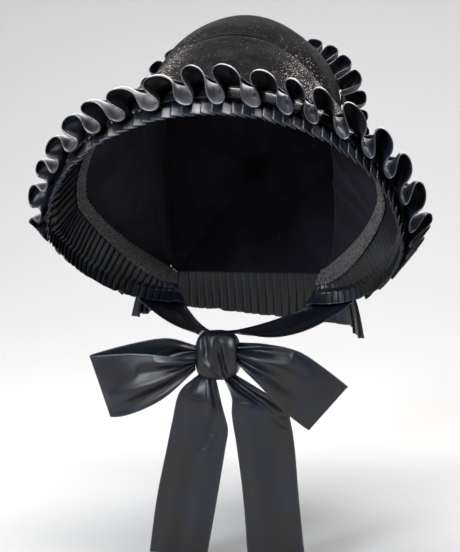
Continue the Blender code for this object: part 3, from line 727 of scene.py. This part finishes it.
# A ribbon on edge that loops along the shell. Its free edge swings high; at its sewn edge the same
# loops lie folded flat over each other, and straight lines across the ribbon join the two.
def ruffleGrid(net, look):
    loops, steps = look["loops"], look["steps"]
    dice = np.random.default_rng(look["seed"])
    wide = 1 + look["uneven"] * dice.uniform(-1, 1, loops)
    ends = np.concatenate([[0.0], np.cumsum(wide)]) / wide.sum()
    each = np.repeat(np.arange(loops), steps)
    knots = np.arange(loops + 1)
    counted = np.arange(loops * steps + 1) / steps
    edges = []
    for swing, square, corner in (look["freeSwing"], look["sewnSwing"]):
        run, rise = meander(swing, square, corner, look["fullTop"], steps)
        edges.append((np.append(ends[each] + np.tile(run, loops) * np.diff(ends)[each], 1.0),
                      np.append(np.tile(rise, loops), 0.0)))

    def varied(value, spread):
        return np.interp(counted, knots, value + spread * dice.uniform(-1, 1, loops + 1))

    tallShare, lean = varied(1, look["unevenTall"]), varied(look["lean"], look["unevenLean"])
    back, twist = varied(look["layBack"], 0.4 * look["layBack"]), varied(0, look["twist"])
    across = np.linspace(0, 1, look["rows"])[:, None]
    eased, sunk = across ** look["ease"], across ** look["sinking"]
    (free, freeRise), (sewn, sewnRise) = edges
    place = look["span"] + (1 - 2 * look["span"]) * (free * (1 - eased) + sewn * eased)
    course = np.array(look["course"])
    setback = np.interp(2 * place - 1, course[:, 0], course[:, 1]) * look["setback"]
    tall = np.interp(2 * place - 1, course[:, 0], course[:, 2]) * look["tall"] * tallShare
    height = freeRise * (1 - sunk) * tall + sewnRise * sunk * look["sewnTall"]
    aside = lean * height + twist * (1 - across)
    length = columnAt(net, look["alongRow"], 0.0)[1]
    column = columnAt(net, look["alongRow"], place - aside / length)[0]
    behind = setback + across * look["ribbon"] + back * freeRise * tall * (1 - across)
    row = rowBehind(net, column, behind * look["direction"] + look["from"])
    return liftedOff(net, row, column, look["side"] * (look["start"] + height))


# Along the course, from -1 to 1 round the brim, go shares of setback and of tall.
brimRuffleLook = {"loops": 28, "steps": 44, "rows": 15, "freeSwing": (math.radians(104), 0.7, 0.0),
                  "sewnSwing": (math.radians(150), 0.5, 0.0), "fullTop": 0.18, "seed": 21, "uneven": 0.20,
                  "unevenTall": 0.10, "lean": 0.48, "unevenLean": 0.16, "layBack": 0.55, "twist": 0.0022,
                  "ease": 2.2, "sinking": 2.4, "ribbon": 0.032, "setback": 0.0010, "tall": 0.0258,
                  "sewnTall": 0.0030, "span": 0.066, "start": 0.0012, "alongRow": 0.3, "direction": 1,
                  "from": 0.0, "side": 1,
                  "course": ((-1.00, -9.00, 0.70), (-0.80, 1.00, 0.72), (-0.55, 2.50, 0.76),
                             (-0.35, 2.50, 0.84), (-0.15, 1.50, 1.00), (0.15, 1.50, 0.98),
                             (0.40, 2.50, 0.92), (0.60, 2.50, 0.86), (0.80, 0.00, 0.80),
                             (1.00, -9.00, 0.72))}
brimGrid = ruffleGrid(brimNet, brimRuffleLook)
wear(clothPiece("brim_ruffle_ribbon", brimGrid, thin, satin, bead=0.0007), "brim_ruffle")

bindingLook = {"behind": 0.0150, "width": 0.017, "lift": 0.0007, "span": 0.05, "columns": 320}


# A flat strip of satin under the ruffle's sewn edge covers the velvet between its loops.
def makeBinding(look):
    column = lastColumn * np.linspace(look["span"], 1 - look["span"], look["columns"])
    across = np.linspace(0, 1, 9)[:, None]
    row = rowBehind(brimNet, column, look["behind"] + across * look["width"])
    grid = liftedOff(brimNet, row, column, look["lift"])
    # Its edges get a fifth of the painted edge highlight.
    return clothPiece("brim_ruffle_binding", grid, stout, satin, edgeHighlightStrength=0.2)


wear(makeBinding(bindingLook), "brim_ruffle")
print("brim ruffle made")

# The crown's ruffle is laid on the same net, counted forward from its tip.
crownRuffleLook = {"loops": 37, "steps": 40, "rows": 11, "freeSwing": (math.radians(94), 4.0, 0.42),
                   "sewnSwing": (math.radians(98), 0.7, 0.0), "fullTop": 0.44, "seed": 5, "uneven": 0.12,
                   "unevenTall": 0.09, "lean": 0.05, "unevenLean": 0.08, "layBack": 0.05, "twist": 0.001,
                   "ease": 2.2, "sinking": 3.0, "ribbon": 0.018, "setback": 0.0, "tall": 0.0240,
                   "sewnTall": 0.0060, "span": 0.03, "start": 0.0012, "alongRow": 0.4, "direction": -1,
                   "from": 0.020, "side": -1, "course": ((-1.0, 0.0, 1.0), (1.0, 0.0, 1.0))}
crownGrid = ruffleGrid(crownNet[::-1], crownRuffleLook)
wear(clothPiece("crown_ruffle_ribbon", crownGrid, thin, satin, bead=0.0006), "crown_ruffle")
print("crown ruffle made")

# Neck curtain
# Its path runs by net, row, columns up from the neck edge, and share of the flare.
curtainLook = {"pleats": 38, "overlap": 0.55, "depth": 0.0062, "sewnDepth": 0.0012, "drop": 0.022,
               "tilt": 0.009, "flare": 0.017, "bow": 0.0025, "uneven": 0.0006, "unevenDepth": 0.2,
               "seed": 9, "rows": 16,
               "path": (("brim", 1, 3.2, 0.80), ("brim", 2, 2.8, 0.80), ("brim", 3, 2.5, 0.95),
                        ("crown", 2, 2.0, 1.0), ("crown", 4, 1.0, 1.0))}


# The sewn edge follows the neck edge round the back; the hem hangs level below it, flared out,
# and knife pleats run from one to the other.
def makeCurtain(look):
    half = []
    for entry, following in zip(look["path"], look["path"][1:]):
        steps = np.arange(6) / 6
        inBrim = following[0] == "brim"
        net = brimNet if inBrim else crownNet
        startRow = entry[1] if (entry[0] == "brim") == inBrim else 0
        row = startRow + (following[1] - startRow) * steps
        up = entry[2] + (following[2] - entry[2]) * steps
        flare = entry[3] + (following[3] - entry[3]) * steps
        at = onNet(net, row, lastColumn - up)
        out = liftedOff(net, row, lastColumn - up, 0.01) - at
        half.append(np.concatenate([at, unit(out), flare[:, None]], axis=1))
    corner = onNet(crownNet, 4.0, np.array([lastColumn - 1.0]))[0]
    neck = sections["tip"][7] * shell["napeDrop"]
    side = unit(np.array([0.75, 0.66, 0]))
    half = np.concatenate(half + [[[corner[0], corner[1], neck, *side, 1.0],
                                   [corner[0] * 0.85, corner[1] + 0.003, neck, 0, 1, 0, 1.0]]])
    mirror = half * (-1, 1, 1, -1, 1, 1, 1)
    line = np.concatenate([half, mirror[::-1]])
    lengths = lineLengths(line[:, :3])
    place, depth = pleatCourse(look["pleats"], look["overlap"], 7, 4)
    spots = np.interp(place / look["pleats"] * lengths[-1], lengths, np.arange(len(lengths)))
    values = np.stack([np.interp(spots, np.arange(len(line)), line[:, k]) for k in range(7)], axis=-1)
    sewn, out, flare = values[:, :3], unit(values[:, 3:6]), values[:, 6:]
    level = unit(out * (1, 1, 0))
    start = shell["gap"] + shell["ease"] + 0.0003
    wobble, knots = np.random.default_rng(look["seed"]), np.arange(look["pleats"] + 1)
    deep = 1 + look["unevenDepth"] * np.interp(place, knots, wobble.normal(0, 1, len(knots)))[:, None]
    raised = 1 - depth[:, None]
    top = sewn + out * (start + raised * look["sewnDepth"])
    hem = sewn + level * (start + flare * look["flare"] + raised * look["depth"] * deep)
    uneven = np.interp(place, knots, wobble.normal(0, look["uneven"], len(knots)))
    hem[:, 2] = -shell["napeDrop"] - look["drop"] - look["tilt"] * sewn[:, 0] / sewn[:, 0].max() + uneven
    down = np.linspace(0, 1, look["rows"])[:, None, None]
    grid = top[None] + (hem - top)[None] * down + level[None] * look["bow"] * np.sin(down * math.pi)
    return clothPiece("bavolet_cloth", grid[::-1], stout, satin, bead=0.0005, edges=(True, False))


wear(makeCurtain(curtainLook), "bavolet")
print("neck curtain made")

# Ribbons
# A table of rows becomes a smooth run of rows: Catmull-Rom through each, at a finer count.
def smoothRows(table, places):
    rows = np.array(table, float)
    padded = np.concatenate([[2 * rows[0] - rows[1]], rows, [2 * rows[-1] - rows[-2]]])
    low = np.clip(np.floor(places).astype(int), 0, len(rows) - 2)
    weights = cubicWeights(places - low)
    return sum(padded[low + k] * weights[:, k:k + 1] for k in range(4))


# Relief of folds: each is a rounded ridge or valley along a straight line over the cloth, from one
# place to another, fading at both ends. Places are in table rows along and shares across.
def foldRelief(folds, along, across):
    relief = np.zeros(np.broadcast(along, across).shape)
    for startAlong, endAlong, startAcross, endAcross, height, width in folds:
        share = (along - startAlong) / (endAlong - startAlong)
        middle = startAcross + (endAcross - startAcross) * share
        fade = np.sin(np.clip(share, 0, 1) * math.pi) ** 0.6
        relief = relief + height * fade * np.exp(-((across - middle) / width) ** 2)
    return relief


# A ribbon of the bow or the ties: its grid pushed out along its normals by the relief.
def ribbonPiece(name, grid, relief):
    normal = unit(np.cross(np.gradient(grid, axis=1), np.gradient(grid, axis=0)))
    return clothPiece(name, grid + normal * relief[..., None], stout, satin, bead=0.0005, hemWidth=0.0008)


# The straight lines across the cloth between its two edges, and the share of the way.
def betweenEdges(edges, count):
    across = np.linspace(0, 1, count)[:, None]
    return edges[0][None] * (1 - across[..., None]) + edges[1][None] * across[..., None], across


def wearBoth(make, piece, looks, node):
    for side, look in looks.items():
        wear(make(piece % side, look), node + side)
    print(node + "s made")


bowLook = {"knot": (-0.009, -0.066, -0.125), "width": 0.040, "height": 0.044, "depth": 0.028,
           "loopLength": 0.094, "tailLength": 0.166, "gap": 0.0008, "loopTuck": 0.003,
           "tailTuck": 0.002, "belly": 0.004, "loopPinch": 0.0016, "tailPinch": 0.0014}
knotMiddle = np.array(bowLook["knot"])

# Rows: how far out and up the upper edge is, the same of the lower edge, and forward, as shares of
# loopLength. Folds: from and to along, from and to across, height in metres, and width.
loopLooks = {
    "left": {"side": -1, "rows": (
        (0.00, 0.08, 0.00, -0.06, 0.00), (0.30, 0.14, 0.26, -0.26, -0.04), (0.66, 0.08, 0.60, -0.46, -0.03),
        (1.05, -0.03, 0.86, -0.61, 0.04), (0.63, 0.02, 0.66, -0.57, 0.13), (0.27, 0.01, 0.32, -0.40, 0.16),
        (0.01, -0.03, 0.01, -0.12, 0.10)),
        "folds": ((3.2, 6.3, 0.95, 0.55, -0.0051, 0.13), (3.3, 6.2, 0.7, 0.42, 0.0037, 0.12),
                  (4.2, 6.4, 0.3, 0.38, -0.0037, 0.1), (4.6, 6.5, 0.12, 0.2, 0.0031, 0.09),
                  (-0.3, 2.4, 0.35, 0.5, 0.0043, 0.14), (-0.3, 2, 0.75, 0.7, -0.0037, 0.12))},
    "right": {"side": 1, "rows": (
        (0.00, 0.12, 0.00, -0.02, 0.00), (0.28, 0.10, 0.24, -0.20, -0.04), (0.60, 0.02, 0.42, -0.42, -0.03),
        (1.04, -0.27, 0.68, -0.69, 0.04), (0.62, 0.06, 0.46, -0.50, 0.13), (0.30, 0.12, 0.20, -0.22, 0.16),
        (0.01, 0.10, 0.01, -0.06, 0.10)),
        "folds": ((3.6, 6.4, 0.3, 0.45, 0.0048, 0.14), (4.2, 6.3, 0.08, 0.22, -0.0041, 0.1),
                  (3.8, 6.4, 0.62, 0.7, -0.0041, 0.13), (4.8, 6.5, 0.85, 0.85, 0.0027, 0.1),
                  (-0.3, 2.4, 0.5, 0.4, 0.0041, 0.14))},
}


# A bow loop: two edges run from the knot out along the back layer to the crease and back along the
# front one. The cloth between them is bowed forward on the front layer.
def makeLoop(name, look):
    last = len(look["rows"]) - 1
    share = np.linspace(0, 1, 150)
    places = last * (share + 0.045 * np.sin(share * 4 * math.pi))
    rows = smoothRows(look["rows"], np.clip(places, 0, last))
    out = bowLook["width"] / 2 + bowLook["gap"] - bowLook["loopTuck"]
    long = bowLook["loopLength"]
    edges = [knotMiddle + np.stack([look["side"] * (out + rows[:, outColumn] * long), -rows[:, 4] * long,
                                    rows[:, riseColumn] * long], axis=-1)
             for outColumn, riseColumn in ((0, 1), (2, 3))]
    grid, flat = betweenEdges(edges, 44)
    near = np.clip(1 - np.abs(places - last) / 1.6, 0, 1) + np.clip(1 - places / 1.6, 0, 1)
    front = np.sin(np.clip((places - 3.05) / 3, 0, 1) * math.pi)
    belly = front * np.sin(flat * math.pi) * bowLook["belly"]
    pinch = bowLook["loopPinch"] * near ** 2 * np.sin(flat * 2 * math.pi * 3.5 + 0.7 * look["side"])
    relief = foldRelief(look["folds"], places[None], flat) + belly + pinch
    return ribbonPiece(name, grid, relief * look["side"])


wearBoth(makeLoop, "bow_loop_%s_ribbon", loopLooks, "bow_loop_")

# Rows: how far aside and down the left edge is, the same of the right edge, and forward.
tailLooks = {
    "left": {"rows": ((-0.10, -0.02, -0.02, -0.02, 0.00), (-0.20, 0.07, 0.03, 0.16, 0.05),
                      (-0.25, 0.24, 0.05, 0.28, 0.02), (-0.29, 0.41, 0.03, 0.40, 0.00),
                      (-0.35, 0.68, -0.02, 0.68, -0.01), (-0.40, 1.00, -0.08, 1.00, -0.02)),
             "folds": ((-0.3, 2.2, 0.6, 0.8, 0.0035, 0.1), (0.2, 3, 0.95, 0.62, -0.0042, 0.12),
                       (1, 5.6, 0.3, 0.28, 0.0032, 0.18), (2.4, 5.6, 0.7, 0.75, 0.0022, 0.16))},
    "right": {"rows": ((0.02, -0.02, 0.09, -0.02, 0.00), (0.08, 0.09, 0.36, 0.13, 0.05),
                       (0.08, 0.20, 0.39, 0.21, 0.04), (0.10, 0.38, 0.41, 0.38, 0.01),
                       (0.13, 0.66, 0.43, 0.66, 0.00), (0.15, 1.00, 0.46, 1.00, -0.01)),
              "folds": ((0.2, 1.9, 0.2, 0.75, -0.0048, 0.13), (0.4, 2.4, 0.45, 0.9, 0.0042, 0.14),
                        (1.2, 5.6, 0.25, 0.3, 0.0035, 0.16), (1.6, 5.6, 0.7, 0.62, -0.0029, 0.18))},
}


# A tail hangs from the knot's lower face between two edges, with long soft folds.
def makeTail(name, look):
    last = len(look["rows"]) - 1
    places = np.linspace(0, last, 150)
    rows = smoothRows(look["rows"], places)
    start, long = bowLook["height"] / 2 + bowLook["gap"] - bowLook["tailTuck"], bowLook["tailLength"]
    edges = [knotMiddle + np.stack([rows[:, outColumn] * long, -rows[:, 4] * long,
                                    -start - rows[:, dropColumn] * long], axis=-1)
             for outColumn, dropColumn in ((0, 1), (2, 3))]
    grid, flat = betweenEdges(edges, 40)
    pinch = bowLook["tailPinch"] * np.clip(1 - places / 0.9, 0, 1) * np.sin(flat * 2 * math.pi * 2.5)
    return ribbonPiece(name, grid, foldRelief(look["folds"], places[None], flat) + pinch)


wearBoth(makeTail, "tail_%s_ribbon", tailLooks, "tail_")

# Lines: columns up from the brim's end, out on the knot's top as a share of its width, and sag.
tieLooks = {
    "left": {"side": -1, "lines": ((0.1, 0.06, 0.8), (1.0, 0.18, 0.9), (2.0, 0.32, 1.0), (3.0, 0.48, 1.0)),
             "folds": ((0.8, 5.3, 0.25, 0.3, 0.0033, 0.12), (0.8, 5.3, 0.62, 0.6, -0.0033, 0.12))},
    "right": {"side": 1, "lines": ((0.1, 0.06, 0.6), (1.0, 0.20, 1.2), (2.0, 0.36, 1.9), (3.0, 0.50, 2.6)),
              "folds": ((0.8, 5.3, 0.22, 0.28, 0.0039, 0.09), (0.8, 5.3, 0.48, 0.5, -0.0036, 0.08),
                        (0.8, 5.3, 0.75, 0.72, 0.0036, 0.09))},
}
tieLook = {"setback": 0.016, "sag": 0.006, "pinch": 0.0012}


# A tie is sewn outside the brim's end, passes under the rim and sags on to the knot's top.
def makeTie(name, look):
    start = shell["gap"] + shell["ease"] + 0.0005
    side = look["side"]
    lines = []
    for up, knotOut, sag in look["lines"]:
        column = np.array([lastColumn - up if side > 0 else up])
        sewnRow = rowBehind(brimNet, column, tieLook["setback"])
        sewn, rim = (liftedOff(brimNet, sewnRow * share, column, start)[0] for share in (1, 0))
        top = knotMiddle + np.array([side * knotOut * bowLook["width"], 0, bowLook["height"] / 2 - 0.002])
        line = [sewn, rim]
        for share in (0.25, 0.5, 0.75, 1.0):
            drop = 4 * share * (1 - share) * tieLook["sag"] * sag
            line.append(rim + (top - rim) * share - np.array([0, 0, drop]))
        lines.append(np.array(line))
    places = np.linspace(0, 5, 110)
    smooth = np.array([smoothRows(line, places) for line in lines])
    across = np.linspace(0, 3, 36)
    grid = smoothRows(smooth.reshape(4, -1), across).reshape(len(across), len(places), 3)
    flat = (across / 3)[:, None]
    relief = foldRelief(look["folds"], places[None], flat) * np.clip(places - 0.8, 0, 1)
    pinch = tieLook["pinch"] * np.clip(places - 3.6, 0, 1.4) * np.sin(flat * 2 * math.pi * 2.5)
    return ribbonPiece(name, grid, relief + pinch)


wearBoth(makeTie, "tie_%s_ribbon", tieLooks, "tie_")

knotLook = {"squareness": 0.66, "around": 150, "down": 90, "folds": (
    (-0.95, 0.80, 0.50, 0.05, -0.0042, 0.12), (-0.75, 1.05, 0.82, 0.74, 0.0034, 0.13),
    (-0.90, -0.05, 0.46, -0.62, 0.0030, 0.13), (-0.60, 1.00, -0.12, -0.05, 0.0026, 0.20),
    (0.10, 1.10, -0.40, -0.62, -0.0024, 0.12), (-1.10, 0.60, -0.80, -0.62, 0.0016, 0.18))}


# The knot: a sphere squared off in all three directions. Wrapped folds run down its faces, given
# from bottom to top in shares of its half height, at shares of its half width.
def makeKnot(look):
    turn = np.linspace(0, 2 * math.pi, look["around"], endpoint=False)[None]
    tilt = np.linspace(math.pi / 2 - 0.02, -math.pi / 2 + 0.02, look["down"])[:, None]

    def squared(value):
        return np.sign(value) * np.abs(value) ** look["squareness"]

    level = squared(np.cos(tilt))
    shape = np.stack([squared(np.cos(turn)) * level, squared(np.sin(turn)) * level,
                      squared(np.sin(tilt)) + 0 * turn], axis=-1)
    half = np.array([bowLook["width"], bowLook["depth"], bowLook["height"]]) / 2
    aside = np.where(shape[..., 1] < 0, shape[..., 0], -shape[..., 0])
    relief = foldRelief(look["folds"], shape[..., 2], aside)
    facing = np.clip(np.abs(shape[..., 1]) * 1.6, 0, 1)
    ring = knotMiddle + shape * half + unit(shape / half) * (relief * facing)[..., None]
    rows, around = ring.shape[:2]
    poles = knotMiddle + np.array([[0, 0, half[2]], [0, 0, -half[2]]])
    points = np.concatenate([ring.reshape(-1, 3), poles])
    column, total = np.arange(around), rows * around
    beside, lowest = (column + 1) % around, total - around
    faces = np.concatenate([ringFaces(rows, around, False, True), fan(beside, column, total),
                            fan(lowest + column, lowest + beside, total + 1)])
    uv = (points - knotMiddle)[:, [0, 2]]
    return meshPiece("knot_ribbon", points, faces, satin, uv, np.zeros(len(points)))


wear(makeKnot(knotLook), "bow_knot")
print("knot made")
# Studio
studio = {"floor": cadLow[2] - 0.012, "paper": (0.25, 0.247, 0.242), "radius": 1.2, "wall": 2.2,
          "front": -4.0, "halfWidth": 6.0, "height": 6.0}


# The floor turns up into a back wall: flat, then a quarter round, then straight up.
def makeStudio(look):
    turn = np.linspace(0, math.pi / 2, 24)
    radius, wall = look["radius"], look["wall"]
    y = np.concatenate([[look["front"], 0.0], wall - radius + radius * np.sin(turn), [wall]])
    z = np.concatenate([[0.0, 0.0], radius - radius * np.cos(turn), [look["height"]]]) + look["floor"]
    x = np.array([-1.0, 1.0]) * look["halfWidth"]
    grid = np.stack(np.broadcast_arrays(x[None], y[:, None], z[:, None]), axis=-1)
    mesh = bpy.data.meshes.new("studio_floor")
    mesh.from_pydata(grid.reshape(-1, 3).tolist(), [], ringFaces(len(y), 2, False).tolist())
    mesh.polygons.foreach_set("use_smooth", [True] * len(mesh.polygons))
    paper, tree, shader = newMaterial("studioPaper", 0.9)
    grain = noise(tree, put(tree, "TexCoord").outputs["Object"], 250.0, 3.0)
    shade = tuple(value * 0.97 for value in look["paper"])
    tree.links.new(blendColours(tree, grain, look["paper"], shade), shader["Base Color"])
    mesh.materials.append(paper)
    placed("studio_floor", mesh)


makeStudio(studio)


# Place, aim, size, power and colour of each light.
lights = {
    "overhead": ((0.0, -0.25, 1.60), (0, 0, 0.05), (2.6, 0.9), 60.0, (1.0, 0.98, 0.97)),
    "strip": ((-0.05, -0.24, 0.95), (-0.05, -0.12, 0.1), (1.2, 0.26), 34.0, (1.0, 0.98, 0.98)),
    "backTop": ((0.0, 1.75, 1.05), (0, 0, 0.05), (3.2, 1.3), 90.0, (0.98, 0.98, 1.0)),
    "front": ((-0.95, -1.6, 1.0), (0, 0, -0.05), (0.5, 0.9), 58.0, (0.78, 0.89, 1.0)),
    "right": ((1.6, -0.9, 0.4), (0, 0, 0), (0.5, 1.2), 9.0, (0.74, 0.86, 1.0)),
    "backdrop": ((0.0, 1.0, 1.9), (0, 2.2, 0.7), (2.0, 0.4), 5.0, (1.0, 1.0, 1.0)),
}
air = {"colour": (0.86, 0.90, 0.95), "strength": 0.14}


def makeLights(table):
    for name, (place, aim, size, power, colour) in table.items():
        light = bpy.data.lights.new(name, "AREA")
        light.shape = "RECTANGLE"
        light.size, light.size_y = size
        light.energy = power
        light.color = colour
        made = placed(name, light)
        made.location = place
        made.rotation_mode = "QUATERNION"
        made.rotation_quaternion = (Vector(aim) - Vector(place)).to_track_quat("-Z", "Y")
    world = bpy.data.worlds.new("studioAir")
    world.use_nodes = True
    background = world.node_tree.nodes["Background"].inputs
    background["Color"].default_value = (*air["colour"], 1.0)
    background["Strength"].default_value = air["strength"]
    bpy.context.scene.world = world


makeLights(lights)

# The camera stands 1.3 m away at the photograph's angle. originAt is where the frame's origin falls
# in the picture, in pixels of 460 by 552.
cameraLook = {"azimuth": 9.0, "elevation": 9.0, "roll": -0.7, "distance": 1.3, "pixel": 0.00092,
              "originAt": (237.5, 207.0), "picture": (460, 552)}


def makeCamera(look):
    a, e, r = (math.radians(look[key]) for key in ("azimuth", "elevation", "roll"))
    back = Vector((math.sin(a) * math.cos(e), -math.cos(a) * math.cos(e), math.sin(e)))
    right = Vector((math.cos(a), math.sin(a), 0))
    up = back.cross(right)
    right, up = right * math.cos(r) + up * math.sin(r), up * math.cos(r) - right * math.sin(r)
    wide, tall = look["picture"]
    originX, originY = look["originAt"]
    target = right * ((wide / 2 - originX) * look["pixel"]) + up * ((originY - tall / 2) * look["pixel"])
    camera = bpy.data.cameras.new("camera")
    camera.sensor_width = 36.0
    camera.lens = look["distance"] / look["pixel"] / tall * 36.0
    camera.clip_start, camera.clip_end = 0.05, 30.0
    turn = Matrix((right, up, back)).transposed().to_4x4()
    turn.translation = target + back * look["distance"]
    made = placed("camera", camera)
    made.matrix_world = turn
    bpy.context.scene.camera = made


makeCamera(cameraLook)
bpy.context.scene.view_settings.view_transform = "Standard"
print("studio made")
